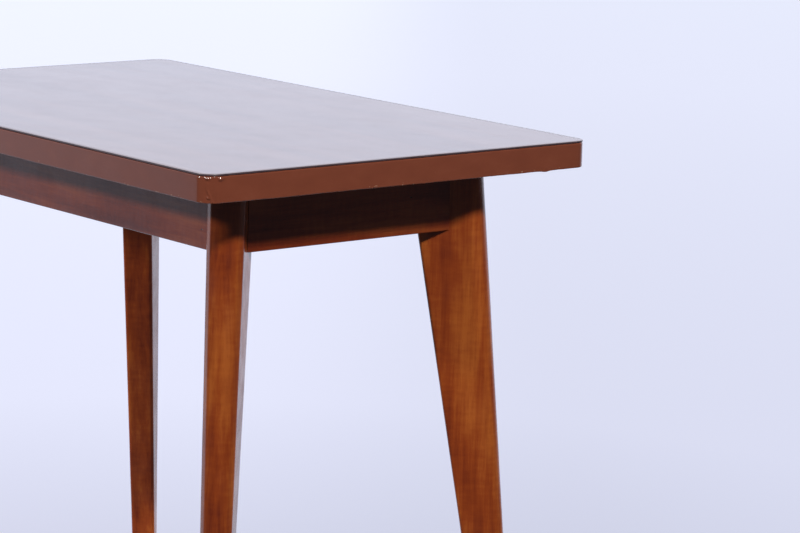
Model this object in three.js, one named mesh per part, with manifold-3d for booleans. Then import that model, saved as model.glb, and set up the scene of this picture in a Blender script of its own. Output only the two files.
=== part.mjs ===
// A small table: a laminated top with painted lippings stands on an apron frame with four
// tapered board legs, which are set on the diagonals of the top and splay outwards.
// Millimetres. +X runs along the top, +Y to its back, +Z up. The origin is on the floor
// under the middle of the top.
import * as THREE from "three";
import { mergeVertices } from "three/addons/utils/BufferGeometryUtils.js";
import Module from "manifold-3d";

const wasm = await Module();
wasm.setup();

// Whole table
const TOP_LENGTH = 730;
const TOP_WIDTH = 460;
const HEIGHT = 570;
const GLUE_GAP = 0.3; // left between pieces that touch

// Top
const LAMINATE = 1.5;
const TOP_THICKNESS = 26.5;
const BACKING = 1;
const LIPPING_WIDTH = 18;
const CORNER_RADIUS = 16;

// Aprons
const SETBACK = 82; // from the edge of the top to the outer face of an apron
const APRON_HEIGHT = 66.5;
const APRON_THICKNESS = 20;

// Legs. A leg's edges are measured from the square corner of the top, along its diagonal.
const HEAD_OUTER = 104.1;
const HEAD_INNER = 177.3;
const HEAD_THICKNESS = 36;
const FOOT_OUTER = 56.5;
const FOOT_INNER = 84.3;
const FOOT_THICKNESS = 26;
const LEG_ROUNDING = 4; // of the inner arrises
const NOSE_DEPTH = 12; // of the shaped outer edge: a curved nose between two bevels
const BEVEL_DEPTH = 7.6;
const BEVEL_WIDTH = 4.4;
const NOSE_PLACES = [-1, -0.75, -0.5, -0.25, 0, 0.25, 0.5, 0.75, 1];

// Joinery
const DOWEL_RADIUS = 4;
const DOWEL_LENGTH = 40;
const DOWEL_IN_LEG = 18;
const LONG_DOWEL_DROPS = [17, 51]; // below the underside of the top
const SHORT_DOWEL_DROPS = [9, 43];
const BLOCK_DEPTH = 30;
const BLOCK_HEIGHT = 40;
const FIXING_LENGTH = 60;
const FIXING_SIDE = 20;
const FIXING_SPACING = 220; // between the two fixing blocks of a long apron
const SCREW_RADIUS = 2;
const SCREW_HEAD_RADIUS = 4;
const SCREW_HEAD_DEPTH = 2.4;
const SCREW_POINT = 6;
const SCREW_SLOT_WIDTH = 1.1;
const SCREW_SLOT_DEPTH = 1;
const BLOCK_SCREW_LENGTH = 28;
const BLOCK_SCREW_IN_APRON = 12;
const TOP_SCREW_LENGTH = 34;

// Foot glides
const GLIDE_RADIUS = 8.5;
const GLIDE_HEIGHT = 4;
const GLIDE_CHAMFER = 1.4;
const GLIDE_PIN_RADIUS = 1.5;
const GLIDE_PIN_LENGTH = 13;

// Worked out from the above
const HALF_LENGTH = TOP_LENGTH / 2;
const HALF_WIDTH = TOP_WIDTH / 2;
const UNDERSIDE = HEIGHT - TOP_THICKNESS;
const FRAME_TOP = UNDERSIDE - GLUE_GAP;
const LEG_HEIGHT = FRAME_TOP - GLIDE_HEIGHT;
const DIAGONAL = Math.SQRT2;
const SLANT = Math.SQRT1_2;

const ROUND_SIDES = 12;
const CORNER_STEPS = 6;

const finish = {
  laminate: { color: 0x9c8f92, roughness: 0.3, metalness: 0 },
  paint: { color: 0x6b352b, roughness: 0.25, metalness: 0 },
  wood: { color: 0x7a3f22, roughness: 0.3, metalness: 0 },
  board: { color: 0xb89a6c, roughness: 0.8, metalness: 0 },
  backing: { color: 0x5a4030, roughness: 0.7, metalness: 0 },
  beech: { color: 0xc9a574, roughness: 0.7, metalness: 0 },
  steel: { color: 0xa9a9a6, roughness: 0.35, metalness: 1 },
  plastic: { color: 0x2a211c, roughness: 0.5, metalness: 0 },
};

function piece(name, geometry, look) {
  const mesh = new THREE.Mesh(geometry, new THREE.MeshStandardMaterial(finish[look]));
  mesh.name = name;
  return mesh;
}

// Solids for joining and cutting

function toSolid(geometry) {
  const bare = geometry.clone();
  bare.deleteAttribute("normal");
  bare.deleteAttribute("uv");
  const merged = mergeVertices(bare, 1e-4);
  return new wasm.Manifold(new wasm.Mesh({
    numProp: 3,
    vertProperties: new Float32Array(merged.attributes.position.array),
    triVerts: new Uint32Array(merged.index.array),
  }));
}

function toGeometry(solid) {
  const mesh = solid.getMesh();
  const geometry = new THREE.BufferGeometry();
  geometry.setAttribute("position", new THREE.BufferAttribute(mesh.vertProperties, 3));
  geometry.setIndex(new THREE.BufferAttribute(mesh.triVerts, 1));
  geometry.computeVertexNormals();
  return geometry;
}

function cut(geometry, cutters) {
  let solid = toSolid(geometry);
  for (const cutter of cutters) {
    solid = solid.subtract(toSolid(cutter));
  }
  return toGeometry(solid);
}

// Basic forms

function slab(shape, thickness, bottom) {
  const geometry = new THREE.ExtrudeGeometry(shape, {
    depth: thickness,
    bevelEnabled: false,
    curveSegments: CORNER_STEPS,
  });
  return geometry.translate(0, 0, bottom);
}

function outline(points) {
  return new THREE.Shape(points.map(([x, y]) => new THREE.Vector2(x, y)));
}

function roundedRectangle(length, width, radius) {
  const x = length / 2 - radius;
  const y = width / 2 - radius;
  const shape = new THREE.Shape();
  shape.absarc(x, y, radius, 0, Math.PI / 2);
  shape.absarc(-x, y, radius, Math.PI / 2, Math.PI);
  shape.absarc(-x, -y, radius, Math.PI, 1.5 * Math.PI);
  shape.absarc(x, -y, radius, 1.5 * Math.PI, 2 * Math.PI);
  return shape;
}

// Turns a form made along +Z so that it points along a direction from a point.
function along(geometry, from, direction) {
  const turn = new THREE.Quaternion();
  turn.setFromUnitVectors(new THREE.Vector3(0, 0, 1), direction.clone().normalize());
  return geometry.applyQuaternion(turn).translate(from.x, from.y, from.z);
}

// A rod whose axis starts at the origin and runs along +Z.
function rod(radius, length) {
  const profile = [[0, 0], [radius, 0], [radius, length], [0, length]];
  return lathe(profile);
}

function lathe(profile) {
  const points = profile.map(([r, z]) => new THREE.Vector2(r, z));
  return new THREE.LatheGeometry(points, ROUND_SIDES).rotateX(Math.PI / 2);
}

// A countersunk screw from the flat of its head, at the origin, to its tip along +Z.
function screwForm(length) {
  const straight = length - SCREW_POINT;
  return lathe([
    [0, 0],
    [SCREW_HEAD_RADIUS, 0],
    [SCREW_RADIUS, SCREW_HEAD_DEPTH],
    [SCREW_RADIUS, straight],
    [0, length],
  ]);
}

function screwWithSlot(length) {
  const slotLength = 3 * SCREW_HEAD_RADIUS;
  const slot = new THREE.BoxGeometry(slotLength, SCREW_SLOT_WIDTH, 2 * SCREW_SLOT_DEPTH);
  return cut(screwForm(length), [slot]);
}

// The room that a screw needs: its form with a gap all round, and a bore over its head.
function screwRoom(length, bore) {
  const radius = SCREW_RADIUS + GLUE_GAP;
  const head = SCREW_HEAD_RADIUS + GLUE_GAP;
  return lathe([
    [0, -bore],
    [head, -bore],
    [head, GLUE_GAP],
    [radius, SCREW_HEAD_DEPTH + GLUE_GAP],
    [radius, length + GLUE_GAP],
    [0, length + GLUE_GAP],
  ]);
}

// Dowels

const DOWEL_CENTRE = (SETBACK + APRON_THICKNESS / 2) * DIAGONAL;

function legThicknessAt(z) {
  const share = (z - GLIDE_HEIGHT) / LEG_HEIGHT;
  return FOOT_THICKNESS + share * (HEAD_THICKNESS - FOOT_THICKNESS);
}

// Where a dowel starts inside the leg, in the frame of its corner. side is +1 or -1.
function dowelStart(side, drop) {
  const z = UNDERSIDE - drop;
  const reach = legThicknessAt(z) / 2 / SLANT - DOWEL_IN_LEG;
  return new THREE.Vector3(DOWEL_CENTRE + reach * SLANT, side * reach * SLANT, z);
}

function dowelDirection(side) {
  return new THREE.Vector3(1, side, 0);
}

function dowelHole(side, drop) {
  const start = dowelStart(side, drop);
  const direction = dowelDirection(side).normalize();
  start.addScaledVector(direction, -GLUE_GAP);
  return along(rod(DOWEL_RADIUS + GLUE_GAP, DOWEL_LENGTH + 2 * GLUE_GAP), start, direction);
}

// Corners. A corner's frame has its origin under the square corner of the top and its +X
// along the diagonal, towards the middle. hand is the side of that frame, +1 or -1, on
// which the long apron lies.

const APRON_INSIDE = (SETBACK + APRON_THICKNESS) * DIAGONAL;
const BLOCK_FRONT = HEAD_INNER + GLUE_GAP;
const BLOCK_BACK = BLOCK_FRONT + BLOCK_DEPTH;
const BLOCK_MIDDLE = BLOCK_FRONT + BLOCK_DEPTH / 2;

const NOSE_HALF = FOOT_THICKNESS / 2 - BEVEL_WIDTH;

// The leg's section at the foot, with its nose towards -X.
function legSection(width) {
  const outer = -width / 2;
  const side = FOOT_THICKNESS / 2;
  const nose = NOSE_PLACES.map((place) => (
    [outer + (NOSE_DEPTH - BEVEL_DEPTH) * place ** 2, -place * NOSE_HALF]
  ));
  const shoulder = outer + NOSE_DEPTH;
  const shape = outline([[shoulder, side], ...nose, [shoulder, -side]]);
  const x = width / 2 - LEG_ROUNDING;
  const y = side - LEG_ROUNDING;
  shape.absarc(x, -y, LEG_ROUNDING, 1.5 * Math.PI, 2 * Math.PI);
  shape.absarc(x, y, LEG_ROUNDING, 0, Math.PI / 2);
  return shape;
}

function legGeometry(hand) {
  const width = FOOT_INNER - FOOT_OUTER;
  const geometry = slab(legSection(width), LEG_HEIGHT, GLIDE_HEIGHT);
  const position = geometry.attributes.position;
  for (let i = 0; i < position.count; i += 1) {
    const share = (position.getZ(i) - GLIDE_HEIGHT) / LEG_HEIGHT;
    const x = position.getX(i);
    const y = position.getY(i);
    const outer = FOOT_OUTER + share * (HEAD_OUTER - FOOT_OUTER);
    const inner = FOOT_INNER + share * (HEAD_INNER - FOOT_INNER);
    const shift = x < 0 ? outer + width / 2 : inner - width / 2;
    const swell = share * (HEAD_THICKNESS - FOOT_THICKNESS) / 2;
    position.setX(i, x + shift);
    position.setY(i, y + swell * Math.max(-1, Math.min(1, y / NOSE_HALF)));
  }
  const cutters = LONG_DOWEL_DROPS.map((drop) => dowelHole(hand, drop));
  cutters.push(...SHORT_DOWEL_DROPS.map((drop) => dowelHole(-hand, drop)));
  const pinHole = rod(GLIDE_PIN_RADIUS + GLUE_GAP, GLIDE_PIN_LENGTH + GLIDE_HEIGHT);
  cutters.push(pinHole.translate((FOOT_OUTER + FOOT_INNER) / 2, 0, GLUE_GAP));
  return cut(geometry, cutters);
}

// The middle of a corner block's face against an apron, and the way into that apron.
function blockFace(side) {
  return new THREE.Vector3(BLOCK_MIDDLE, side * (BLOCK_MIDDLE - APRON_INSIDE),
    FRAME_TOP - BLOCK_HEIGHT / 2);
}

function intoApron(side) {
  return new THREE.Vector3(-SLANT, side * SLANT, 0);
}

function blockScrewStart(side) {
  const back = BLOCK_SCREW_IN_APRON - BLOCK_SCREW_LENGTH;
  return blockFace(side).addScaledVector(intoApron(side), back);
}

function blockGeometry() {
  const inset = APRON_INSIDE + GLUE_GAP * DIAGONAL;
  const front = BLOCK_FRONT - inset;
  const back = BLOCK_BACK - inset;
  const shape = outline([
    [BLOCK_FRONT, -front],
    [BLOCK_BACK, -back],
    [BLOCK_BACK, back],
    [BLOCK_FRONT, front],
  ]);
  const rooms = [1, -1].map((side) => (
    along(screwRoom(BLOCK_SCREW_LENGTH, BLOCK_DEPTH), blockScrewStart(side), intoApron(side))
  ));
  return cut(slab(shape, BLOCK_HEIGHT, FRAME_TOP - BLOCK_HEIGHT), rooms);
}

function glideGeometry() {
  const disc = GLIDE_HEIGHT - GLUE_GAP;
  return lathe([
    [0, 0],
    [GLIDE_RADIUS - GLIDE_CHAMFER, 0],
    [GLIDE_RADIUS, GLIDE_CHAMFER],
    [GLIDE_RADIUS, disc],
    [GLIDE_PIN_RADIUS, disc],
    [GLIDE_PIN_RADIUS, GLIDE_PIN_LENGTH],
    [0, GLIDE_PIN_LENGTH + 2 * GLIDE_PIN_RADIUS],
  ]);
}

function corner(name, sideX, sideY) {
  const hand = -sideX * sideY;
  const group = new THREE.Group();
  group.position.set(sideX * HALF_LENGTH, sideY * HALF_WIDTH, 0);
  group.rotation.z = Math.atan2(-sideY, -sideX);

  group.add(piece(`leg_${name}`, legGeometry(hand), "wood"));
  group.add(piece(`corner_block_${name}`, blockGeometry(), "beech"));

  const glide = piece(`foot_glide_${name}`, glideGeometry(), "plastic");
  glide.position.x = (FOOT_OUTER + FOOT_INNER) / 2;
  group.add(glide);

  const rails = [["long", hand, LONG_DOWEL_DROPS], ["short", -hand, SHORT_DOWEL_DROPS]];
  for (const [rail, side, drops] of rails) {
    drops.forEach((drop, i) => {
      const level = i === 0 ? "upper" : "lower";
      const geometry = rod(DOWEL_RADIUS, DOWEL_LENGTH);
      along(geometry, dowelStart(side, drop), dowelDirection(side));
      group.add(piece(`dowel_${name}_${rail}_${level}`, geometry, "beech"));
    });
    const screw = screwWithSlot(BLOCK_SCREW_LENGTH);
    along(screw, blockScrewStart(side), intoApron(side));
    group.add(piece(`block_screw_${name}_${rail}`, screw, "steel"));
  }
  return group;
}

// Aprons. An apron's frame has its +X along the apron, its outer face towards -Y and its
// origin under the edge of the top that it follows.

// How far an apron stops short of the end of the top, at a height and a depth behind the
// edge of the top: its ends lie against the slanting faces of the legs.
function apronEnd(depth, z) {
  return depth + (legThicknessAt(z) / 2 + GLUE_GAP) * DIAGONAL;
}

function apronGeometry(length, drops) {
  const bottom = UNDERSIDE - APRON_HEIGHT;
  const outer = SETBACK;
  const inner = SETBACK + APRON_THICKNESS;
  const half = length / 2;
  const shape = outline([
    [-half, outer],
    [half, outer],
    [half, inner],
    [-half, inner],
  ]);
  const geometry = slab(shape, FRAME_TOP - bottom, bottom);
  const position = geometry.attributes.position;
  for (let i = 0; i < position.count; i += 1) {
    const end = apronEnd(position.getY(i), position.getZ(i));
    position.setX(i, Math.sign(position.getX(i)) * (half - end));
  }

  const cutters = [];
  for (const end of [-1, 1]) {
    for (const drop of drops) {
      const start = dowelStart(1, drop);
      const fromCorner = (start.x + start.y) * SLANT;
      const hole = rod(DOWEL_RADIUS + GLUE_GAP, DOWEL_LENGTH + 2 * GLUE_GAP);
      const x = end * (half - fromCorner + GLUE_GAP);
      const from = new THREE.Vector3(x, SETBACK + APRON_THICKNESS / 2, start.z);
      cutters.push(along(hole, from, new THREE.Vector3(-end, 0, 0)));
    }
    const screw = blockScrewStart(1);
    const screwFromEnd = (screw.x + screw.y) * SLANT;
    const screwDepth = (screw.x - screw.y) * SLANT;
    const from = new THREE.Vector3(end * (half - screwFromEnd), screwDepth, screw.z);
    cutters.push(along(screwRoom(BLOCK_SCREW_LENGTH, 0), from, new THREE.Vector3(0, -1, 0)));
  }
  return cut(geometry, cutters);
}

function fixingBlockGeometry() {
  const geometry = new THREE.BoxGeometry(FIXING_LENGTH, FIXING_SIDE, FIXING_SIDE);
  geometry.translate(0, 0, FIXING_SIDE / 2);
  return cut(geometry, [screwRoom(TOP_SCREW_LENGTH, SCREW_SLOT_DEPTH)]);
}

const FIXING_DEPTH = SETBACK + APRON_THICKNESS + GLUE_GAP + FIXING_SIDE / 2;
const FIXING_BOTTOM = FRAME_TOP - FIXING_SIDE;

function fixings(name, places) {
  const group = new THREE.Group();
  for (const [suffix, x] of places) {
    const block = piece(`fixing_block_${name}${suffix}`, fixingBlockGeometry(), "beech");
    const screw = piece(`top_screw_${name}${suffix}`, screwWithSlot(TOP_SCREW_LENGTH), "steel");
    block.position.set(x, FIXING_DEPTH, FIXING_BOTTOM);
    screw.position.copy(block.position);
    group.add(block, screw);
  }
  return group;
}

const PAIR = [["_1", -FIXING_SPACING / 2], ["_2", FIXING_SPACING / 2]];
const SINGLE = [["", 0]];
const SIDES = [
  { name: "front", length: TOP_LENGTH, drops: LONG_DOWEL_DROPS, places: PAIR, turn: 0 },
  { name: "right", length: TOP_WIDTH, drops: SHORT_DOWEL_DROPS, places: SINGLE, turn: 1 },
  { name: "back", length: TOP_LENGTH, drops: LONG_DOWEL_DROPS, places: PAIR, turn: 2 },
  { name: "left", length: TOP_WIDTH, drops: SHORT_DOWEL_DROPS, places: SINGLE, turn: 3 },
];

// Puts a group in place along one side of the top: its -Y then faces outwards.
function placeSide(group, side) {
  const offset = side.turn % 2 === 0 ? HALF_WIDTH : HALF_LENGTH;
  group.rotation.z = side.turn * Math.PI / 2;
  group.position.set(0, -offset, 0).applyAxisAngle(new THREE.Vector3(0, 0, 1), group.rotation.z);
  return group;
}

// Top

// A lipping strip in the frame of its side. Its ends are mitred through the round corner.
function lippingGeometry(length) {
  const half = length / 2;
  const centre = half - CORNER_RADIUS;
  const mitre = Math.PI / 4 - Math.asin(GLUE_GAP / 2 / CORNER_RADIUS);
  const shift = GLUE_GAP / 2 * DIAGONAL;
  const shape = new THREE.Shape();
  shape.moveTo(half - LIPPING_WIDTH - shift, LIPPING_WIDTH);
  shape.lineTo(shift - half + LIPPING_WIDTH, LIPPING_WIDTH);
  shape.absarc(-centre, CORNER_RADIUS, CORNER_RADIUS, 1.5 * Math.PI - mitre, 1.5 * Math.PI);
  shape.absarc(centre, CORNER_RADIUS, CORNER_RADIUS, 1.5 * Math.PI, 1.5 * Math.PI + mitre);
  shape.closePath();
  return slab(shape, TOP_THICKNESS - LAMINATE - GLUE_GAP, UNDERSIDE);
}

function panelShape() {
  const trim = 2 * (LIPPING_WIDTH + GLUE_GAP);
  const x = (TOP_LENGTH - trim) / 2;
  const y = (TOP_WIDTH - trim) / 2;
  return outline([[-x, -y], [x, -y], [x, y], [-x, y]]);
}

// The room that the top screws need, at their places.
function topScrewRooms() {
  return SIDES.flatMap((side) => side.places.map(([, x]) => {
    const marker = new THREE.Object3D();
    marker.position.set(x, FIXING_DEPTH, FIXING_BOTTOM);
    placeSide(new THREE.Group(), side).add(marker);
    marker.parent.updateMatrixWorld(true);
    return screwRoom(TOP_SCREW_LENGTH, 0).applyMatrix4(marker.matrixWorld);
  }));
}

function top() {
  const group = new THREE.Group();
  const coreBottom = UNDERSIDE + BACKING + GLUE_GAP;
  const coreTop = HEIGHT - LAMINATE - GLUE_GAP;
  const sheet = roundedRectangle(TOP_LENGTH, TOP_WIDTH, CORNER_RADIUS);
  const core = cut(slab(panelShape(), coreTop - coreBottom, coreBottom), topScrewRooms());
  const backing = cut(slab(panelShape(), BACKING, UNDERSIDE), topScrewRooms());
  group.add(piece("top_laminate", slab(sheet, LAMINATE, HEIGHT - LAMINATE), "laminate"));
  group.add(piece("top_core", core, "board"));
  group.add(piece("backing_sheet", backing, "backing"));
  return group;
}

const table = new THREE.Group();
table.add(top());
for (const side of SIDES) {
  const group = fixings(side.name, side.places);
  group.add(piece(`lipping_${side.name}`, lippingGeometry(side.length), "paint"));
  group.add(piece(`apron_${side.name}`, apronGeometry(side.length, side.drops), "wood"));
  table.add(placeSide(group, side));
}
table.add(corner("front_right", 1, -1));
table.add(corner("back_right", 1, 1));
table.add(corner("back_left", -1, 1));
table.add(corner("front_left", -1, -1));

export default table;
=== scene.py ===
"""A small laminated table: painted lippings, an apron frame and four tapered board legs.

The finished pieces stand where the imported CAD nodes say. Metres; +X runs along the top,
+Y to its back and +Z up, with the origin on the floor under the middle of the top.
"""
import math

import bmesh
import bpy
from mathutils import Matrix, Vector, noise


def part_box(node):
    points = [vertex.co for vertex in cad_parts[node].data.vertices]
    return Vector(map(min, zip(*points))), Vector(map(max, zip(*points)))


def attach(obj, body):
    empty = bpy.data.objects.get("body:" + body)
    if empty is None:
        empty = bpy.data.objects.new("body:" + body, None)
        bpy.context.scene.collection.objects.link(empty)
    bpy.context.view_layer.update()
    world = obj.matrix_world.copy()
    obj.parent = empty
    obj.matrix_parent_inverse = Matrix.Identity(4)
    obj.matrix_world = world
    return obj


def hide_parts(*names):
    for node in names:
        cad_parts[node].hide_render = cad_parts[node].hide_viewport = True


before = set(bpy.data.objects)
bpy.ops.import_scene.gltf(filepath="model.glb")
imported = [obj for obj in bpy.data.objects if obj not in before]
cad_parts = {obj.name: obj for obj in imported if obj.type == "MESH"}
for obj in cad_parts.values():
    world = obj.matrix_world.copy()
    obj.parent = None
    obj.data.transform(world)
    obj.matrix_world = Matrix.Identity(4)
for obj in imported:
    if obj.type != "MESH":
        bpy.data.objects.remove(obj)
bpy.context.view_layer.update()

MM = 0.001
CORNERS = {
    "front_right": (1, -1),
    "back_right": (1, 1),
    "back_left": (-1, 1),
    "front_left": (-1, -1),
}
SIDES = ("front", "right", "back", "left")

# The top
TOP_LOW, TOP_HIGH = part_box("top_laminate")
EDGE_LOW, EDGE_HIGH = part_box("lipping_front")
CORE_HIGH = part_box("top_core")[1]
LEG_LOW, LEG_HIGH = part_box("leg_front_right")
HALF_LENGTH = TOP_HIGH.x
HALF_WIDTH = TOP_HIGH.y
UNDERSIDE = EDGE_LOW.z
CORNER_RADIUS = 16 * MM
GAP = 0.3 * MM
SHARP_EDGE = 35  # degrees between two faces; below that they are shaded as one

# The legs. A leg's edges are measured from the square corner of the top, along its
# diagonal, at the head and at the foot.
HEAD_EDGES = (104.1 * MM, 177.3 * MM)
FOOT_EDGES = (56.5 * MM, 84.3 * MM)
HEAD_THICKNESS = 36 * MM
FOOT_THICKNESS = 26 * MM
LEG_ROUNDING = 4 * MM
NOSE_DEPTH = 12 * MM
NOSE_BEVEL = (4.4 * MM, 7.6 * MM)  # across the leg's thickness, and in from its edge
NOSE_SOFTNESS = 0.06  # how far a bevel bulges, as a share of its depth
GLIDE_PIN_RADIUS = 1.5 * MM

# The camera and the light
CAMERA_PLACE = (2.6332, -1.8627, 1.0107)
CAMERA_LENS = 142.76
CAMERA_YAW = 140.686
CAMERA_PITCH = 10.519
CAMERA_ROLL = 1.658

# Level directions: away from the camera, to its right, and to the bright side of the room
AHEAD = (-0.774, 0.633, 0.0)
RIGHTWARDS = (0.633, 0.774, 0.0)
BRIGHT_SIDE = (-0.891, 0.454, 0.0)
ROOM_BASE = 0.09  # the room's brightness where nothing else lights it
FLOOR_BOUNCE = 0.40  # the radiance of the floor's own light
# The strength of the floor's glow: painted light that only the camera sees
FLOOR_PAINTED_GLOW = 0.72
LIGHT_TARGET = Vector((0.1, 0.0, 0.45))

# Colours of the stained wood. A leg's tones are multiplied by its own factor, which is painted light:
# the back left leg, in shade, is painted lighter.
LEG_TONES = {
    "dark": (0.108, 0.014, 0.003),
    "middle": (0.195, 0.034, 0.005),
    "light": (0.290, 0.072, 0.011),
}
RAIL_TONES = {
    "dark": (0.088, 0.010, 0.003),
    "middle": (0.160, 0.024, 0.005),
    "light": (0.235, 0.050, 0.010),
}
# Painted light: each leg's tones are scaled so that a leg in shade, the back left one most, is painted
# lighter
LEG_PAINTED_LIGHT = {"front_right": 0.95, "back_right": 1.04, "back_left": 1.60, "front_left": 1.0}


# ---------------------------------------------------------------- meshes

def add_piece(name, bm, materials, matrix=None, sharp=SHARP_EDGE):
    """Turns a bmesh into a piece that rides on the table's one body."""
    bmesh.ops.recalc_face_normals(bm, faces=bm.faces)
    mesh = bpy.data.meshes.new(name)
    bm.to_mesh(mesh)
    bm.free()
    for material in materials:
        mesh.materials.append(material)
    mesh.shade_smooth()
    mesh.set_sharp_from_angle(angle=math.radians(sharp))
    piece = bpy.data.objects.new(name, mesh)
    bpy.context.scene.collection.objects.link(piece)
    if matrix is not None:
        piece.matrix_world = matrix
    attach(piece, "root")
    return piece


def skin(bm, rings):
    """Joins rings of points, each a list of the same length, into one closed skin."""
    loops = [[bm.verts.new(point) for point in ring] for ring in rings]
    count = len(loops[0])
    for lower, upper in zip(loops, loops[1:]):
        for i in range(count):
            j = (i + 1) % count
            bm.faces.new((lower[i], lower[j], upper[j], upper[i]))
    bm.faces.new(list(reversed(loops[0])))
    bm.faces.new(loops[-1])


def rounded_ring(half_x, half_y, radius, steps, flats):
    """A rounded rectangle round the origin, as (x, y) going anticlockwise.

    flats gives how many parts the sides along x and along y are split into.
    """
    points = []
    centres = (
        (half_x - radius, half_y - radius, 0),
        (radius - half_x, half_y - radius, 90),
        (radius - half_x, radius - half_y, 180),
        (half_x - radius, radius - half_y, 270),
    )
    for index, (cx, cy, start) in enumerate(centres):
        for step in range(steps + 1):
            turn = math.radians(start + 90 * step / steps)
            points.append((cx + radius * math.cos(turn), cy + radius * math.sin(turn)))
        nx, ny, _ = centres[(index + 1) % 4]
        turn = math.radians(start + 90)
        here = (cx + radius * math.cos(turn), cy + radius * math.sin(turn))
        there = (nx + radius * math.cos(turn), ny + radius * math.sin(turn))
        parts = flats[index % 2]
        for part in range(1, parts):
            share = part / parts
            points.append((
                here[0] + share * (there[0] - here[0]),
                here[1] + share * (there[1] - here[1]),
            ))
    return points


def wander(point, scale, seed):
    """A smooth value from about -1 to 1 that wanders with the place, at a scale in metres."""
    return noise.noise(Vector(point) / scale + Vector((seed * 7.3, seed * 3.1, seed * 5.7)))


def cut_away(piece, cutters):
    """Cuts temporary bodies out of a piece and removes them."""
    for cutter in cutters:
        modifier = piece.modifiers.new("cut", "BOOLEAN")
        modifier.operation = "DIFFERENCE"
        modifier.solver = "EXACT"
        modifier.object = cutter
    graph = bpy.context.evaluated_depsgraph_get()
    cut = bpy.data.meshes.new_from_object(piece.evaluated_get(graph))
    piece.modifiers.clear()
    old = piece.data
    piece.data = cut
    cut.name = old.name
    bpy.data.meshes.remove(old)
    for cutter in cutters:
        bpy.data.objects.remove(cutter)
    piece.data.set_sharp_from_angle(angle=math.radians(SHARP_EDGE))


def rod(radius, depth, sides, place):
    """A temporary rod, upright before its matrix places it, for cutting a hole."""
    bm = bmesh.new()
    bmesh.ops.create_cone(
        bm, cap_ends=True, segments=sides, radius1=radius, radius2=radius, depth=depth,
    )
    mesh = bpy.data.meshes.new("rod")
    bm.to_mesh(mesh)
    bm.free()
    cutter = bpy.data.objects.new("rod", mesh)
    bpy.context.scene.collection.objects.link(cutter)
    cutter.matrix_world = place
    bpy.context.view_layer.update()
    return cutter


def dowel_hole(dowel):
    """A temporary rod that fills the box of a dowel lying along X or Y, with a gap."""
    low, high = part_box(dowel)
    size = high - low
    axis = max(range(3), key=lambda i: size[i])
    lying = Vector([float(i == axis) for i in range(3)])
    turn = Vector((0, 0, 1)).rotation_difference(lying)
    place = Matrix.Translation((low + high) / 2) @ turn.to_matrix().to_4x4()
    return rod(min(size) / 2 + GAP, size[axis] + 2 * GAP, 20, place)


def glide_socket(corner):
    """A temporary upright rod for the pin of a foot glide."""
    low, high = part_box(f"foot_glide_{corner}")
    top = high.z + 1.5 * GAP
    place = Matrix.Translation(((low.x + high.x) / 2, (low.y + high.y) / 2, top / 2))
    return rod(GLIDE_PIN_RADIUS + GAP, top, 16, place)


# ---------------------------------------------------------------- node materials

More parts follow.
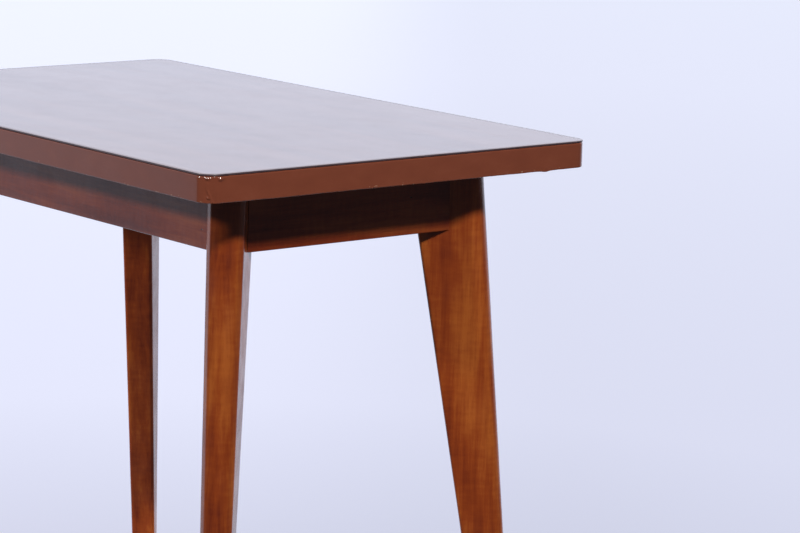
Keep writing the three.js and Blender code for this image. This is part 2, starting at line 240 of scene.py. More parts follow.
class Shader:
    """A Principled material with helpers for the procedural nodes round it."""

    def __init__(self, name):
        self.material = bpy.data.materials.new(name)
        self.material.use_nodes = True
        self.tree = self.material.node_tree
        self.tree.nodes.clear()
        self.surface = self.add("ShaderNodeBsdfPrincipled")
        output = self.add("ShaderNodeOutputMaterial")
        self.link(self.surface.outputs["BSDF"], output.inputs["Surface"])
        self.place = self.add("ShaderNodeTexCoord").outputs["Object"]

    def add(self, kind, **settings):
        node = self.tree.nodes.new(kind)
        for key, value in settings.items():
            setattr(node, key, value)
        return node

    def link(self, source, target):
        self.tree.links.new(source, target)

    def feed(self, target, value):
        if isinstance(value, bpy.types.NodeSocket):
            self.link(value, target)
        else:
            target.default_value = value

    def stretched(self, scale, shift=(0, 0, 0), source=None):
        """Object coordinates scaled per axis, in cells per metre."""
        node = self.add("ShaderNodeMapping")
        self.link(source or self.place, node.inputs["Vector"])
        node.inputs["Location"].default_value = shift
        node.inputs["Scale"].default_value = scale
        return node.outputs["Vector"]

    def noise(self, vector, detail=3.0, roughness=0.5, distortion=0.0):
        node = self.add("ShaderNodeTexNoise")
        self.link(vector, node.inputs["Vector"])
        node.inputs["Scale"].default_value = 1.0
        node.inputs["Detail"].default_value = detail
        node.inputs["Roughness"].default_value = roughness
        node.inputs["Distortion"].default_value = distortion
        return node.outputs["Fac"]

    def cells(self, scale, source=None, shift=(0, 0, 0), **shape):
        """Noise with so many cells per metre along each axis."""
        return self.noise(self.stretched(scale, shift, source), **shape)

    def chips(self, scale, source=None):
        """A Voronoi texture with so many cells per metre along each axis."""
        node = self.add("ShaderNodeTexVoronoi", feature="F1")
        self.link(self.stretched(scale, source=source), node.inputs["Vector"])
        node.inputs["Scale"].default_value = 1.0
        return node.outputs

    def warp(self, vector, amount, by):
        """Moves coordinates by a colour noise, so that straight patterns wander."""
        node = self.add("ShaderNodeTexNoise")
        self.link(by, node.inputs["Vector"])
        node.inputs["Scale"].default_value = 1.0
        node.inputs["Detail"].default_value = 2.0
        centred = self.vector("SUBTRACT", node.outputs["Color"], (0.5, 0.5, 0.5))
        moved = self.vector("MULTIPLY", centred, amount)
        return self.vector("ADD", vector, moved)

    def vector(self, operation, first, second):
        node = self.add("ShaderNodeVectorMath", operation=operation)
        self.feed(node.inputs[0], first)
        self.feed(node.inputs[1], second)
        return node.outputs["Vector"]

    def math(self, operation, first, second):
        node = self.add("ShaderNodeMath", operation=operation)
        self.feed(node.inputs[0], first)
        self.feed(node.inputs[1], second)
        return node.outputs["Value"]

    def weighted(self, *parts):
        """A sum of values, each times its own weight."""
        total = None
        for value, weight in parts:
            share = self.math("MULTIPLY", value, weight)
            total = share if total is None else self.math("ADD", total, share)
        return total

    def spread(self, value, low, high, to_low=0.0, to_high=1.0):
        """Maps a value smoothly from one range to another, clamped."""
        node = self.add("ShaderNodeMapRange", interpolation_type="SMOOTHSTEP")
        self.feed(node.inputs["Value"], value)
        node.inputs["From Min"].default_value = low
        node.inputs["From Max"].default_value = high
        node.inputs["To Min"].default_value = to_low
        node.inputs["To Max"].default_value = to_high
        return node.outputs["Result"]

    def ramp(self, value, stops):
        node = self.add("ShaderNodeValToRGB")
        self.feed(node.inputs["Fac"], value)
        elements = node.color_ramp.elements
        while len(elements) < len(stops):
            elements.new(0.5)
        for element, (position, colour) in zip(elements, stops):
            element.position = position
            element.color = (*colour, 1.0)
        return node.outputs["Color"]

    def blend(self, share, first, second):
        node = self.add("ShaderNodeMix", data_type="RGBA", blend_type="MIX")
        self.feed(node.inputs["Factor"], share)
        self.feed(node.inputs["A"], (*first, 1.0) if isinstance(first, tuple) else first)
        self.feed(node.inputs["B"], (*second, 1.0) if isinstance(second, tuple) else second)
        return node.outputs["Result"]

    def split(self, vector):
        node = self.add("ShaderNodeSeparateXYZ")
        self.link(vector, node.inputs["Vector"])
        return node.outputs

    def bump(self, height, distance, strength=1.0, under=None):
        node = self.add("ShaderNodeBump")
        self.link(height, node.inputs["Height"])
        node.inputs["Distance"].default_value = distance
        node.inputs["Strength"].default_value = strength
        if under is not None:
            self.link(under, node.inputs["Normal"])
        return node.outputs["Normal"]

    def finish(self, colour, rough, normal=None, **constants):
        self.link(colour, self.surface.inputs["Base Color"])
        self.link(rough, self.surface.inputs["Roughness"])
        if normal is not None:
            self.link(normal, self.surface.inputs["Normal"])
        for key, value in constants.items():
            self.surface.inputs[key.replace("_", " ")].default_value = value
        return self.material


def along_grain(axis, across, along):
    """A scale per axis: cells per metre across the grain and along it."""
    return tuple(along if index == axis else across for index in range(3))


def lacquered_wood(name, axis, shift, dark, middle, light, pits=False):
    """Stained and lacquered hardwood whose grain runs along one object axis."""
    shader = Shader(name)
    base = shader.stretched((1, 1, 1), shift)
    slow = shader.stretched(along_grain(axis, 28, 5), source=base)
    wavy = shader.warp(base, along_grain(axis, 0.010, 0.0), slow)

    bands = shader.cells(along_grain(axis, 130, 9), wavy, detail=3, roughness=0.55)
    streaks = shader.cells(along_grain(axis, 420, 22), wavy, detail=3, roughness=0.6)
    fibres = shader.cells(along_grain(axis, 1900, 60), wavy, detail=2)
    patches = shader.cells(along_grain(axis, 22, 7), base, detail=2)
    curl = shader.cells(along_grain(axis, 60, 210), wavy, detail=2)

    tone = shader.weighted(
        (bands, 0.38), (streaks, 0.16), (patches, 0.58), (curl, 0.13), (fibres, 0.06),
    )
    colour = shader.ramp(tone, ((0.48, dark), (0.65, middle), (0.81, light)))

    pores = shader.cells(along_grain(axis, 2600, 90), wavy, detail=1)
    pores = shader.spread(pores, 0.66, 0.74)
    colour = shader.blend(shader.math("MULTIPLY", pores, 0.35), colour, dark)

    relief = shader.weighted((fibres, 0.35), (streaks, 0.5), (pores, -0.4))
    if pits:
        dots = shader.chips((26, 26, 60), base)
        pit = shader.spread(dots["Distance"], 0.035, 0.055, 1.0, 0.0)
        some = shader.spread(shader.cells((26, 26, 60), base, detail=0), 0.55, 0.6)
        pit = shader.math("MULTIPLY", pit, some)
        colour = shader.blend(shader.math("MULTIPLY", pit, 0.85), colour, (0.01, 0.006, 0.006))
        relief = shader.math("SUBTRACT", relief, shader.math("MULTIPLY", pit, 3.0))

    skin_noise = shader.cells((55, 55, 55), base, detail=2)
    normal = shader.bump(skin_noise, 0.0006, 0.25)
    normal = shader.bump(relief, 0.00012, 0.5, under=normal)
    rough = shader.spread(shader.cells((38, 38, 38), base, detail=4), 0.3, 0.7, 0.16, 0.27)
    return shader.finish(colour, rough, normal, IOR=1.5)


def enamel(name):
    """Thick glossy brown paint, with dust under it, a slow brush wave and pale knocks."""
    shader = Shader(name)
    base = shader.place
    mottled = shader.cells((30, 30, 60), base, detail=4, roughness=0.6)
    colour = shader.ramp(mottled, (
        (0.25, (0.124, 0.032, 0.016)),
        (0.55, (0.138, 0.036, 0.018)),
        (0.80, (0.152, 0.042, 0.022)),
    ))
    dust = shader.cells((900, 900, 900), base, detail=1)
    dust = shader.spread(dust, 0.72, 0.80)
    colour = shader.blend(shader.math("MULTIPLY", dust, 0.25), colour, (0.25, 0.10, 0.07))

    knocks = shader.cells((330, 330, 620), base, detail=2)
    where = shader.cells((24, 24, 24), base, shift=(3.1, 1.7, 0.4), detail=1)
    height = shader.split(base)[2]
    low_edge = shader.spread(height, UNDERSIDE + 0.5 * MM, UNDERSIDE + 3.5 * MM, 1.0, 0.0)
    knock = shader.math("MULTIPLY", shader.spread(knocks, 0.66, 0.70), shader.spread(where, 0.56, 0.64))
    knock = shader.math("MULTIPLY", knock, low_edge)
    colour = shader.blend(knock, colour, (0.42, 0.27, 0.17))

    waves = shader.cells((16, 16, 44), base, detail=1)
    peel = shader.cells((260, 260, 260), base, detail=1)
    normal = shader.bump(waves, 0.0012, 0.22)
    normal = shader.bump(peel, 0.00006, 0.35, under=normal)
    normal = shader.bump(dust, 0.00015, 0.5, under=normal)
    rough = shader.spread(mottled, 0.3, 0.7, 0.10, 0.19)
    rough = shader.math("ADD", rough, shader.math("MULTIPLY", knock, 0.5))
    return shader.finish(colour, rough, normal, IOR=1.5)


def wood_print(name):
    """The face of the laminate: a printed wood grain along the top under a satin skin."""
    shader = Shader(name)
    base = shader.place
    wavy = shader.warp(base, (0.0, 0.012, 0.0), shader.stretched((3.2, 9, 9), source=base))
    figure = shader.cells((2.2, 46, 46), wavy, detail=4, roughness=0.55, distortion=0.4)
    lines = shader.cells((9, 420, 420), wavy, detail=3, roughness=0.6)
    ticks = shader.cells((34, 1300, 1300), wavy, detail=1)
    ticks = shader.spread(ticks, 0.62, 0.72)
    tone = shader.weighted((figure, 0.6), (lines, 0.4))
    colour = shader.ramp(tone, (
        (0.34, (0.070, 0.036, 0.026)),
        (0.50, (0.105, 0.056, 0.040)),
        (0.66, (0.140, 0.080, 0.058)),
    ))
    colour = shader.blend(shader.math("MULTIPLY", ticks, 0.45), colour, (0.05, 0.028, 0.024))
    scuffs = shader.cells((13, 19, 19), base, detail=5, roughness=0.7)
    fine = shader.cells((1500, 1500, 1500), base, detail=2)
    rough = shader.spread(scuffs, 0.3, 0.75, 0.15, 0.18)
    normal = shader.bump(fine, 0.00003, 0.4)
    return shader.finish(colour, rough, normal, IOR=1.5)


def laminate_edge(name):
    """The sawn edge of the laminate: dark resin paper in fine layers."""
    shader = Shader(name)
    layers = shader.cells((60, 60, 3800), detail=2)
    colour = shader.ramp(layers, ((0.3, (0.022, 0.012, 0.016)), (0.7, (0.060, 0.034, 0.040))))
    rough = shader.spread(layers, 0.3, 0.7, 0.3, 0.5)
    return shader.finish(colour, rough, shader.bump(layers, 0.00008, 0.4))


def bare_wood(name, shift=(0, 0, 0)):
    """Plain sawn beech, with short dark flecks, for the blocks and dowels."""
    shader = Shader(name)
    base = shader.stretched((1, 1, 1), shift)
    wavy = shader.warp(base, (0.004, 0.004, 0.004), shader.stretched((14, 14, 14), source=base))
    grain = shader.cells((26, 26, 420), wavy, detail=4, roughness=0.6)
    flecks = shader.cells((700, 700, 120), wavy, detail=1)
    flecks = shader.spread(flecks, 0.62, 0.72)
    grime = shader.cells((40, 40, 40), base, detail=4, roughness=0.65)
    colour = shader.ramp(grain, (
        (0.3, (0.33, 0.20, 0.10)), (0.55, (0.47, 0.31, 0.17)), (0.75, (0.58, 0.41, 0.24)),
    ))
    colour = shader.blend(shader.math("MULTIPLY", flecks, 0.5), colour, (0.20, 0.10, 0.045))
    colour = shader.blend(shader.spread(grime, 0.45, 0.75, 0.0, 0.55), colour, (0.16, 0.10, 0.06))
    relief = shader.weighted((grain, 1.0), (flecks, -0.6))
    rough = shader.spread(grain, 0.3, 0.7, 0.6, 0.8)
    return shader.finish(colour, rough, shader.bump(relief, 0.0002, 0.5))


def pressed_board(name):
    """Chipboard: flat light and dark chips in a dusty binder."""
    shader = Shader(name)
    chips = shader.chips((190, 330, 620))
    shade = shader.split(chips["Color"])[0]
    colour = shader.ramp(shade, (
        (0.1, (0.22, 0.14, 0.075)), (0.55, (0.42, 0.29, 0.16)), (0.95, (0.56, 0.42, 0.26)),
    ))
    dust = shader.cells((90, 90, 90), detail=4)
    colour = shader.blend(shader.spread(dust, 0.4, 0.8, 0.0, 0.5), colour, (0.24, 0.17, 0.10))
    rough = shader.spread(dust, 0.3, 0.7, 0.7, 0.9)
    return shader.finish(colour, rough, shader.bump(chips["Distance"], 0.0003, 0.5))


def backing_paper(name):
    """The brown balancing sheet under the top, dull and a little stained."""
    shader = Shader(name)
    cloud = shader.cells((7, 7, 7), detail=6, roughness=0.65)
    fibre = shader.cells((160, 900, 900), detail=3, roughness=0.6)
    tone = shader.weighted((cloud, 0.65), (fibre, 0.35))
    colour = shader.ramp(tone, (
        (0.32, (0.060, 0.034, 0.022)), (0.5, (0.105, 0.062, 0.040)), (0.7, (0.160, 0.100, 0.066)),
    ))
    rough = shader.spread(cloud, 0.3, 0.7, 0.5, 0.72)
    return shader.finish(colour, rough, shader.bump(fibre, 0.0001, 0.5))


def worn_steel(name):
    """Zinc-plated steel gone dull, with a little brown in the hollows."""
    shader = Shader(name)
    cloud = shader.cells((420, 420, 420), detail=4, roughness=0.6)
    scratch = shader.cells((2600, 300, 900), detail=2)
    colour = shader.ramp(cloud, (
        (0.35, (0.30, 0.25, 0.20)), (0.5, (0.46, 0.45, 0.43)), (0.7, (0.62, 0.62, 0.60)),
    ))
    rough = shader.spread(cloud, 0.3, 0.7, 0.5, 0.26)
    return shader.finish(colour, rough, shader.bump(scratch, 0.00006, 0.5), Metallic=1.0)


def glide_nylon(name):
    """Dark moulded nylon, scuffed matt where it has slid on floors."""
    shader = Shader(name)
    cloud = shader.cells((260, 260, 260), detail=4, roughness=0.6)
    scuff = shader.cells((900, 2600, 900), detail=2)
    colour = shader.ramp(cloud, ((0.35, (0.018, 0.014, 0.012)), (0.7, (0.046, 0.037, 0.031))))
    worn = shader.spread(shader.split(shader.place)[2], 0.0, 1.2 * MM, 0.6, 0.0)
    colour = shader.blend(shader.math("MULTIPLY", worn, scuff), colour, (0.14, 0.12, 0.10))
    rough = shader.spread(cloud, 0.3, 0.7, 0.36, 0.55)
    return shader.finish(colour, rough, shader.bump(scuff, 0.00012, 0.5))


# ---------------------------------------------------------------- the top

def outline(inset, spacing=9 * MM, steps=14):
    """Points round the top, anticlockwise: (x, y, out_x, out_y, (corner, turn)).

    They start on the front right corner. turn goes from 0 to 1 round a corner, and it is
    None on the straight side that follows it.
    """
    points = []
    reach_x = HALF_LENGTH - CORNER_RADIUS
    reach_y = HALF_WIDTH - CORNER_RADIUS
    corners = (
        (reach_x, -reach_y, -90), (reach_x, reach_y, 0),
        (-reach_x, reach_y, 90), (-reach_x, -reach_y, 180),
    )
    radius = CORNER_RADIUS - inset
    for index, (cx, cy, start) in enumerate(corners):
        for step in range(steps + 1):
            angle = math.radians(start + 90 * step / steps)
            out = (math.cos(angle), math.sin(angle))
            points.append((
                cx + radius * out[0], cy + radius * out[1], *out, (index, step / steps),
            ))
        nx, ny, _ = corners[(index + 1) % 4]
        angle = math.radians(start + 90)
        out = (round(math.cos(angle)), round(math.sin(angle)))
        length = math.hypot(nx - cx, ny - cy)
        parts = max(2, round(length / spacing))
        for part in range(1, parts):
            share = part / parts
            points.append((
                cx + share * (nx - cx) + radius * out[0],
                cy + share * (ny - cy) + radius * out[1],
                *out, (index, None),
            ))
    return points


def laminate_sheet(face, edge):
    """The laminate: a thin sheet with a fine eased edge that shows its dark layers."""
    bm = bmesh.new()
    ease = 0.25 * MM
    levels = (
        (TOP_LOW.z, 0.0),
        (TOP_HIGH.z - ease, 0.0),
        (TOP_HIGH.z - ease * 0.3, ease * 0.3),
        (TOP_HIGH.z, ease),
        (TOP_HIGH.z, 6 * MM),
    )
    rings = [[(x, y, z) for x, y, *_ in outline(inset)] for z, inset in levels]
    skin(bm, rings)
    piece = add_piece("laminate", bm, (face, edge), sharp=30)
    top = TOP_HIGH.z - 0.02 * MM
    for polygon in piece.data.polygons:
        on_top = all(piece.data.vertices[i].co.z > top for i in polygon.vertices)
        polygon.material_index = 0 if on_top else 1
    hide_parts("top_laminate")


def painted_edge(paint):
    """The four lippings under one thick coat of paint, soft at its arrises.

    The lower edge waves where the paint has sagged. A run and three beads stand on the
    front right corner, and drops hang under the right side.
    """
    height = EDGE_HIGH.z - EDGE_LOW.z
    depth = EDGE_HIGH.y - EDGE_LOW.y
    soft = 1.5 * MM
    crisp = 0.6 * MM
    lap = 3.2 * MM
    inner_x = CORE_HIGH.x + GAP
    inner_y = CORE_HIGH.y + GAP
    profile = [(-depth, 1.0), (-depth * 0.55, 1.0), (-lap, 1.0)]
    arris_steps = 5
    for step in range(arris_steps + 1):
        turn = math.radians(90 - 90 / arris_steps * step)
        profile.append(((math.cos(turn) - 1) * soft, 1 - (1 - math.sin(turn)) * soft / height))
    rows = 28
    face_top, face_height = 0.93, 0.89
    for row in range(1, rows):
        profile.append((0.0, face_top - face_height * row / rows))
    for step in range(arris_steps + 1):
        turn = math.radians(-90 / arris_steps * step)
        profile.append(((math.cos(turn) - 1) * crisp, (1 + math.sin(turn)) * crisp / height))
    profile += [(-lap, 0.0), (-depth * 0.55, 0.0), (-depth, 0.0)]

    def on_corner(turn, level):
        """A spot on the front right corner, and the way round the top from there."""
        angle = math.radians(90 * (turn - 1))
        spot = Vector((
            HALF_LENGTH + CORNER_RADIUS * (math.cos(angle) - 1),
            -HALF_WIDTH + CORNER_RADIUS * (math.sin(angle) + 1),
            EDGE_LOW.z + level * height,
        ))
        return spot, Vector((-math.sin(angle), math.cos(angle), 0))

    # Each bead: its spot, the way round, its size, and how its face leans that way.
    beads = (
        (*on_corner(0.50, 0.93), 1.7 * MM, 0.37),
        (*on_corner(0.94, 0.92), 2.1 * MM, -0.34),
        (*on_corner(0.51, 0.22), 1.5 * MM, 0.37),
    )

    def run(turn, level, z):
        """How far the run, and the shallow hollow beside it, move the corner's face."""
        sway = 0.035 * math.sin(9.0 * level) + 0.03 * wander((z, 0, 0), 0.006, 4)
        middle = 0.38 + 0.24 * (1 - level) + sway
        ridge = math.exp(-((turn - middle) / 0.045) ** 2)
        ridge *= 0.7 + 0.3 * wander((z, 0.3, 0), 0.006, 5)
        hollow = math.exp(-((turn - 0.24) / 0.08) ** 2)
        return 0.95 * MM * ridge - 0.14 * MM * hollow

    def shaped(point, out_share, level):
        """Where a point of the profile goes: out_share in from the side, level up it."""
        x, y, out_x, out_y, (corner, turn) = point
        if corner == 0 and turn is not None and -soft < out_share < 0:
            tight = 1 - 0.7 * math.exp(-((turn - 0.72) / 0.12) ** 2)
            out_share *= tight
            if level > 0.5:
                level = 1 - (1 - level) * tight
        z = EDGE_LOW.z + level * height
        outside = max(0.0, 1 + out_share / (4 * MM))
        push = 0.10 * MM * wander((x, y, z), 0.035, 1) * outside
        lower = max(0.0, 1 - level / 0.16)
        sag = 0.30 * wander((x, y, 0), 0.022, 2) + 0.16 * wander((x, y, 0), 0.007, 3)
        z -= sag * lower * outside * MM
        if corner == 0 and turn is not None:
            push += run(turn, level, z) * outside
        if corner == 0 and turn is None:
            drop = math.exp(-((y - 0.174) / 0.0042) ** 2)
            drop += 0.45 * math.exp(-((y - 0.022) / 0.0030) ** 2)
            z -= 0.9 * MM * drop * lower * outside
            push += 0.25 * MM * drop * max(0.0, 1 - level / 0.35) * outside
        for bead, along, size, lean in beads:
            away = Vector((x, y, EDGE_LOW.z + level * height)) - bead
            swell = 0.5 * size - lean * away.dot(along) - 0.44 * away.z
            push += swell * math.exp(-(away.length / size) ** 4) * outside
        reach = out_share + push
        px, py = x + out_x * reach, y + out_y * reach
        if out_share <= -depth + 1e-9:
            px = max(-inner_x, min(inner_x, px))
            py = max(-inner_y, min(inner_y, py))
        return (px, py, z)

    bm = bmesh.new()
    known = {}

    def vertex(point):
        """The columns of a corner all meet in one vertex at the corner of the board."""
        key = tuple(round(value, 6) for value in point)
        if key not in known:
            known[key] = bm.verts.new(point)
        return known[key]

    ring_points = outline(0.0, spacing=3 * MM, steps=48)
    columns = [[vertex(shaped(point, *spot)) for spot in profile] for point in ring_points]
    count = len(profile)
    for here, there in zip(columns, columns[1:] + columns[:1]):
        for i in range(count):
            j = (i + 1) % count
            around = (here[i], there[i], there[j], here[j])
            face = [vert for before, vert in zip(around[-1:] + around, around) if vert is not before]
            if len(face) > 2:
                bm.faces.new(face)
    piece = add_piece("painted_edge", bm, (paint,), sharp=60)
    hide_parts(*(f"lipping_{side}" for side in SIDES))


# ---------------------------------------------------------------- the frame

def leg_corner_matrix(side_x, side_y):
    """The frame of a corner: origin under the top's square corner, +X along the diagonal."""
    place = Matrix.Translation((side_x * HALF_LENGTH, side_y * HALF_WIDTH, 0))
    return place @ Matrix.Rotation(math.atan2(-side_y, -side_x), 4, "Z")


def leg_section(width, thickness, rounding):
    """A leg's section round its middle, anticlockwise from the shoulder of one bevel.

    The outer edge, at -X, is a curved nose between two bevels. The inner edge, at +X,
    is flat with two roundings.
    """
    side = thickness / 2
    shoulder = NOSE_DEPTH - width / 2
    inner = width / 2 - rounding
    bevel_across, bevel_deep = NOSE_BEVEL
    bevel_parts = 5
    bevel = []
    for part in range(bevel_parts):
        share = part / bevel_parts
        bulge = NOSE_SOFTNESS * math.sin(math.pi * share) * bevel_deep
        bevel.append((
            shoulder - share * bevel_deep - bulge * 0.5,
            side - share * bevel_across + bulge * 0.2,
        ))
    points = list(bevel)
    front = side - bevel_across
    rise = NOSE_DEPTH - bevel_deep
    nose_steps = 20
    for step in range(nose_steps + 1):
        across = 1 - 2 * step / nose_steps
        points.append((shoulder - NOSE_DEPTH + rise * across ** 2, across * front))
    points += [(x, -y) for x, y in reversed(bevel)]
    flat_parts = 9
    for part in range(1, flat_parts):
        points.append((shoulder + part / flat_parts * (inner - shoulder), -side))
    arc_steps = 7
    for step in range(arc_steps + 1):
        turn = math.radians(-90 + 90 * step / arc_steps)
        across = rounding - side + rounding * math.sin(turn)
        points.append((inner + rounding * math.cos(turn), across))
    edge_parts = 5
    for part in range(1, edge_parts):
        points.append((inner + rounding, (2 * part / edge_parts - 1) * (side - rounding)))
    for step in range(arc_steps + 1):
        turn = math.radians(90 * step / arc_steps)
        across = side - rounding + rounding * math.sin(turn)
        points.append((inner + rounding * math.cos(turn), across))
    for part in range(1, flat_parts):
        points.append((inner + part / flat_parts * (shoulder - inner), side))
    return points


def leg_piece(corner, wood):
    """A tapered board leg with a shaped outer edge, a little uneven from hand sanding."""
    low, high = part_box(f"leg_{corner}")
    seed = list(CORNERS).index(corner) + 1
    span = high.z - low.z
    ease = 1.2 * MM  # the height over which the foot's rim is eased
    count = 64
    levels = [0.0, ease * 0.3, ease]
    levels += [ease + (span - ease) * (i + 1) / count for i in range(count)]
    bm = bmesh.new()
    rings = []
    for level in levels:
        share = level / span
        outer = FOOT_EDGES[0] + share * (HEAD_EDGES[0] - FOOT_EDGES[0])
        inner = FOOT_EDGES[1] + share * (HEAD_EDGES[1] - FOOT_EDGES[1])
        thickness = FOOT_THICKNESS + share * (HEAD_THICKNESS - FOOT_THICKNESS)
        inset = ease * (1 - math.sqrt(1 - (1 - min(1.0, level / ease)) ** 2)) * 0.8
        middle = (outer + inner) / 2
        ring = []
        for x, y in leg_section(inner - outer, thickness, LEG_ROUNDING):
            spot = (x * 1.5, y * 1.5, level)
            wave = 0.16 * MM * wander(spot, 0.045, seed)
            wave += 0.05 * MM * wander(spot, 0.012, seed + 9)
            pull = (wave - inset) / math.hypot(x, y)
            ring.append((middle + x + x * pull, y + y * pull, low.z + level))
        rings.append(ring)
    skin(bm, rings)
    piece = add_piece(f"lacquered_leg_{corner}", bm, (wood,), leg_corner_matrix(*CORNERS[corner]))
    cutters = []
    for rail in ("long", "short"):
        cutters += [dowel_hole(f"dowel_{corner}_{rail}_{level}") for level in ("upper", "lower")]
    cutters.append(glide_socket(corner))
    cut_away(piece, cutters)
    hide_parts(f"leg_{corner}")


def leg_thickness(z):
    """How thick a leg is at a height above the floor."""
    share = (z - LEG_LOW.z) / (LEG_HIGH.z - LEG_LOW.z)
    return FOOT_THICKNESS + share * (HEAD_THICKNESS - FOOT_THICKNESS)


def apron_piece(side, wood):
    """A rail with eased edges whose mitred ends lie against the slanting legs."""
    low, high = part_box(f"apron_{side}")
    long_way = side in ("front", "back")
    seed = SIDES.index(side) + 20
    edge = HALF_WIDTH if long_way else HALF_LENGTH
    half = HALF_LENGTH if long_way else HALF_WIDTH
    outer_faces = {"front": -low.y, "right": high.x, "back": high.y, "left": -low.x}
    depth_out = edge - outer_faces[side]
    thick = (high.y - low.y) if long_way else (high.x - low.x)
    tall = high.z - low.z
    ring_shape = rounded_ring(thick / 2, tall / 2, 1.3 * MM, 4, (2, 9))
    bm = bmesh.new()
    rings = []
    sections = 60
    for section in range(sections + 1):
        share = 2 * section / sections - 1
        ring = []
        for across, up in ring_shape:
            z = low.z + tall / 2 + up
            depth = depth_out + thick / 2 + across
            end = half - depth - (leg_thickness(z) / 2 + GAP) * math.sqrt(2)
            along = share * end
            spot = (along, across, z)
            wave = 0.14 * MM * wander(spot, 0.07, seed) + 0.03 * MM * wander(spot, 0.012, seed)
            push = wave * across / (thick / 2)
            ring.append((along, depth - edge + push, z))
        rings.append(ring)
    skin(bm, rings)
    turn = Matrix.Rotation(math.radians(90 * SIDES.index(side)), 4, "Z")
    piece = add_piece(f"lacquered_rail_{side}", bm, (wood,), turn)
    rail = "long" if long_way else "short"
    cutters = []
    for corner in (c for c in CORNERS if side in c):
        cutters += [dowel_hole(f"dowel_{corner}_{rail}_{level}") for level in ("upper", "lower")]
    cut_away(piece, cutters)
    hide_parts(f"apron_{side}")


def foot_glide(corner, nylon):
    """A moulded glide: a domed disc with a small step and a pin into the leg."""
    low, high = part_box(f"foot_glide_{corner}")
    radius = (high.x - low.x) / 2
    disc = 3.7 * MM
    pin = GLIDE_PIN_RADIUS
    profile = [
        (radius - 2.2 * MM, 0.0), (radius - 1.1 * MM, 0.16 * MM), (radius - 0.35 * MM, 0.7 * MM),
        (radius, 1.5 * MM), (radius, disc - 0.8 * MM), (radius - 0.25 * MM, disc - 0.25 * MM),
        (radius - 0.8 * MM, disc), (pin, disc), (pin, high.z - 2.4 * MM), (0.25 * MM, high.z),
    ]
    bm = bmesh.new()
    sides = 48
    rings = []
    turns = [2 * math.pi * i / sides for i in range(sides)]
    for r, z in profile:
        rings.append([(r * math.cos(turn), r * math.sin(turn), z) for turn in turns])
    skin(bm, rings)
    place = Matrix.Translation(((low.x + high.x) / 2, (low.y + high.y) / 2, low.z))
    piece = add_piece(f"nylon_glide_{corner}", bm, (nylon,), place)
    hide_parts(f"foot_glide_{corner}")


def dress(prefix, material):
    """Gives the carried-over CAD nodes of a kind their finish."""
    for name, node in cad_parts.items():
        if name.startswith(prefix):
            if not node.material_slots:
                node.data.materials.append(None)
            for place in node.material_slots:
                place.material = material


def dress_hidden_parts():
    """Finishes for the nodes whose CAD shape is kept."""
    dress("top_core", pressed_board("chipboard"))
    dress("backing_sheet", backing_paper("backing_paper"))
    beech = bare_wood("bare_beech")
    dress("corner_block", beech)
    dress("fixing_block", bare_wood("bare_beech_rails", (0.3, 0.1, 0.7)))
    dress("dowel", bare_wood("bare_beech_dowels", (0.7, 0.5, 0.2)))
    steel = worn_steel("dull_steel")
    dress("block_screw", steel)
    dress("top_screw", steel)


# ---------------------------------------------------------------- the studio

def camera():
    """The camera: a long lens just above the level of the top, with a slight roll."""
    data = bpy.data.cameras.new("camera")
    data.lens = CAMERA_LENS
    data.sensor_width = 36
    data.clip_end = 200
    eye = bpy.data.objects.new("camera", data)
    bpy.context.scene.collection.objects.link(eye)
    yaw, pitch, roll = (math.radians(a) for a in (CAMERA_YAW, CAMERA_PITCH, CAMERA_ROLL))
    ahead = Vector((math.cos(pitch) * math.cos(yaw), math.cos(pitch) * math.sin(yaw), -math.sin(pitch)))
    right = Vector((math.sin(yaw), -math.cos(yaw), 0))
    up = right.cross(ahead)
    tilted_right = math.cos(roll) * right + math.sin(roll) * up
    tilted_up = math.cos(roll) * up - math.sin(roll) * right
    turn = Matrix((tilted_right, tilted_up, -ahead)).transposed().to_4x4()
    eye.matrix_world = Matrix.Translation(CAMERA_PLACE) @ turn
    bpy.context.scene.camera = eye


def world_light():
    """A white room behind and to the left, and a dim one in front and to the right."""
    world = bpy.data.worlds.new("room")
    bpy.context.scene.world = world
    world.use_nodes = True
    tree = world.node_tree
    tree.nodes.clear()
    out = tree.nodes.new("ShaderNodeOutputWorld")
    background = tree.nodes.new("ShaderNodeBackground")
    tree.links.new(background.outputs[0], out.inputs[0])
    direction = tree.nodes.new("ShaderNodeTexCoord").outputs["Generated"]

    def facing(towards, low, high, gain):
        dot = tree.nodes.new("ShaderNodeVectorMath")
        dot.operation = "DOT_PRODUCT"
        tree.links.new(direction, dot.inputs[0])
        dot.inputs[1].default_value = Vector(towards).normalized()
        spread = tree.nodes.new("ShaderNodeMapRange")
        spread.interpolation_type = "SMOOTHSTEP"
        tree.links.new(dot.outputs["Value"], spread.inputs["Value"])
        spread.inputs["From Min"].default_value = low
        spread.inputs["From Max"].default_value = high
        spread.inputs["To Min"].default_value = 0.0
        spread.inputs["To Max"].default_value = gain
        return spread.outputs["Result"]

    def join(operation, first, second):
        node = tree.nodes.new("ShaderNodeMath")
        node.operation = operation
        for socket, value in zip(node.inputs, (first, second)):
            if isinstance(value, bpy.types.NodeSocket):
                tree.links.new(value, socket)
            else:
                socket.default_value = value
        return node.outputs["Value"]

    upwards = (0.0, 0.0, 1.0)
    bright_side = facing(BRIGHT_SIDE, 0.29, 0.56, 0.80)
    glare = join("MULTIPLY", facing(AHEAD, 0.3, 0.9, 1.0), facing(upwards, -0.03, 0.12, 0.54))
    total = join("ADD", bright_side, glare)
    total = join("ADD", total, facing(upwards, 0.2, 1.0, 0.20))
    total = join("ADD", total, ROOM_BASE)
    background.inputs["Color"].default_value = (0.845, 0.885, 1.065, 1.0)
    tree.links.new(total, background.inputs["Strength"])


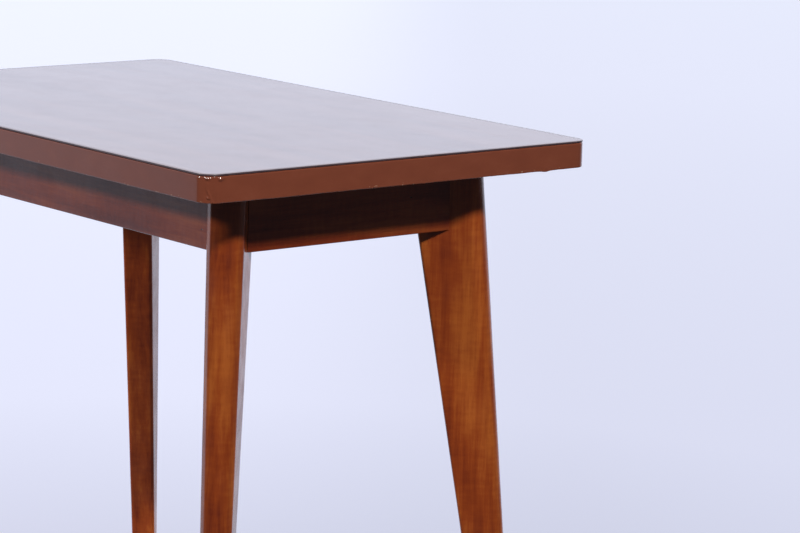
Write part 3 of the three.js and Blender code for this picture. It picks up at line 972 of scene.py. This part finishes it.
def disc_light(name, turn, rise, distance, size, energy, colour):
    """A disc light aimed at the table. turn, from +X towards -Y, and rise are in degrees."""
    data = bpy.data.lights.new(name, "AREA")
    data.shape = "DISK"
    data.size = size
    data.energy = energy
    data.color = colour
    light = bpy.data.objects.new(name, data)
    bpy.context.scene.collection.objects.link(light)
    turn, rise = math.radians(turn), math.radians(rise)
    level = math.cos(rise)
    away = Vector((level * math.cos(turn), -level * math.sin(turn), math.sin(rise)))
    light.location = LIGHT_TARGET + away * distance
    light.rotation_mode = "QUATERNION"
    light.rotation_quaternion = away.to_track_quat("Z", "Y")
    return light


def floor():
    """A wide pale floor that glows, though it is no lamp; its glow has painted shade, darker near the
    table and towards the camera's right. It is seen and takes soft shadows, but the room lights the
    table.
    """
    bm = bmesh.new()
    bmesh.ops.create_grid(bm, x_segments=8, y_segments=8, size=60)
    mesh = bpy.data.meshes.new("floor")
    bm.to_mesh(mesh)
    bm.free()
    ground = bpy.data.objects.new("floor", mesh)
    bpy.context.scene.collection.objects.link(ground)
    ground.visible_diffuse = False
    ground.visible_glossy = False

    material = bpy.data.materials.new("glowing_floor_painted_shade")
    material.use_nodes = True
    tree = material.node_tree
    tree.nodes.clear()
    out = tree.nodes.new("ShaderNodeOutputMaterial")
    place = tree.nodes.new("ShaderNodeTexCoord").outputs["Object"]
    distance_for_painted_shade = tree.nodes.new("ShaderNodeVectorMath")
    distance_for_painted_shade.operation = "LENGTH"
    tree.links.new(place, distance_for_painted_shade.inputs[0])
    ramp = tree.nodes.new("ShaderNodeValToRGB")
    reach = tree.nodes.new("ShaderNodeMapRange")
    tree.links.new(distance_for_painted_shade.outputs["Value"], reach.inputs["Value"])
    reach.inputs["From Max"].default_value = 9.0
    tree.links.new(reach.outputs["Result"], ramp.inputs["Fac"])
    # Painted shade: the glow is darker near the table and brighter far off
    stops = (
        (0.05, (0.68, 0.69, 0.83)),
        (0.13, (0.83, 0.84, 1.00)),
        (0.55, (0.95, 0.97, 1.13)),
        (0.90, (0.98, 1.01, 1.15)),
    )
    while len(ramp.color_ramp.elements) < len(stops):
        ramp.color_ramp.elements.new(0.5)
    for element, (position, colour) in zip(ramp.color_ramp.elements, stops):
        element.position = position
        element.color = (*colour, 1.0)
    # Painted shade: the glow darkens towards the camera's right and is a little brighter to its left
    painted_shade_sideways = tree.nodes.new("ShaderNodeVectorMath")
    painted_shade_sideways.operation = "DOT_PRODUCT"
    tree.links.new(place, painted_shade_sideways.inputs[0])
    painted_shade_sideways.inputs[1].default_value = RIGHTWARDS
    shade = tree.nodes.new("ShaderNodeMapRange")
    shade.interpolation_type = "SMOOTHSTEP"
    tree.links.new(painted_shade_sideways.outputs["Value"], shade.inputs["Value"])
    shade.inputs["From Min"].default_value = -0.1
    shade.inputs["From Max"].default_value = 0.5
    shade.inputs["To Min"].default_value = 1.05
    shade.inputs["To Max"].default_value = 0.91
    shaded = tree.nodes.new("ShaderNodeVectorMath")
    shaded.operation = "SCALE"
    tree.links.new(ramp.outputs["Color"], shaded.inputs[0])
    tree.links.new(shade.outputs["Result"], shaded.inputs["Scale"])
    # The floor's painted glow, added to its matt part
    painted_glow = tree.nodes.new("ShaderNodeEmission")
    tree.links.new(shaded.outputs["Vector"], painted_glow.inputs["Color"])
    painted_glow.inputs["Strength"].default_value = FLOOR_PAINTED_GLOW
    matt = tree.nodes.new("ShaderNodeBsdfDiffuse")
    matt.inputs["Color"].default_value = (0.40, 0.42, 0.46, 1.0)
    both = tree.nodes.new("ShaderNodeAddShader")
    tree.links.new(painted_glow.outputs[0], both.inputs[0])
    tree.links.new(matt.outputs[0], both.inputs[1])
    back = tree.nodes.new("ShaderNodeNewGeometry")
    clear = tree.nodes.new("ShaderNodeBsdfTransparent")
    choose = tree.nodes.new("ShaderNodeMixShader")
    tree.links.new(back.outputs["Backfacing"], choose.inputs["Fac"])
    tree.links.new(both.outputs[0], choose.inputs[1])
    tree.links.new(clear.outputs[0], choose.inputs[2])
    tree.links.new(choose.outputs[0], out.inputs["Surface"])
    mesh.materials.append(material)
    return ground


def keep_off(lights, ground):
    """The lights don't reach the floor, so the table throws no hard shadow on it."""
    spared = bpy.data.collections.new("spared_by_lights")
    spared.objects.link(ground)
    for light in lights:
        light.light_linking.receiver_collection = spared
    spared.collection_objects[0].light_linking.link_state = "EXCLUDE"


def paper_bounce():
    """Light thrown up by the white floor under the table and behind it."""
    data = bpy.data.lights.new("bounce", "AREA")
    data.shape = "RECTANGLE"
    data.size = 5.0
    data.size_y = 2.6
    data.energy = math.pi * data.size * data.size_y * FLOOR_BOUNCE
    data.color = (0.93, 0.96, 1.0)
    light = bpy.data.objects.new("bounce", data)
    bpy.context.scene.collection.objects.link(light)
    light.visible_camera = False
    light.visible_glossy = False
    turn = math.radians(CAMERA_YAW)
    away = Vector((math.cos(turn), math.sin(turn), 0))
    light.location = away * (data.size_y / 2 - 0.05) + Vector((0, 0, 0.004))
    light.rotation_euler = (math.pi, 0, turn + math.pi / 2)


# ---------------------------------------------------------------- the scene

camera()
bpy.context.scene.view_settings.view_transform = "Standard"
world_light()
ground = floor()
lamps = (
    disc_light("key", turn=13, rise=35, distance=4.0, size=0.38, energy=185, colour=(1.0, 0.98, 0.95)),
    disc_light("low", turn=110, rise=24, distance=3.5, size=0.32, energy=77, colour=(1.0, 0.98, 0.96)),
)
keep_off(lamps, ground)
paper_bounce()

laminate_sheet(wood_print("wood_print"), laminate_edge("laminate_edge"))
painted_edge(enamel("brown_enamel"))
for number, corner in enumerate(CORNERS):
    shift = (0.37 * number, 0.21 * number, 0.53 * number)
    # The leg's tones are scaled by its factor of painted light; the back left leg, in shade, is painted
    # lighter
    depth = LEG_PAINTED_LIGHT[corner]
    painted_light_tones = {part: tuple(depth * value for value in tone) for part, tone in LEG_TONES.items()}
    leg_piece(corner, lacquered_wood(f"leg_wood_painted_light_{corner}", 2, shift, **painted_light_tones))
    foot_glide(corner, glide_nylon(f"nylon_{corner}"))
for number, side in enumerate(SIDES):
    shift = (0.29 * number + 2.0, 0.17 * number, 0.41 * number)
    apron_piece(side, lacquered_wood(f"rail_wood_{side}", 0, shift, pits=True, **RAIL_TONES))
dress_hidden_parts()
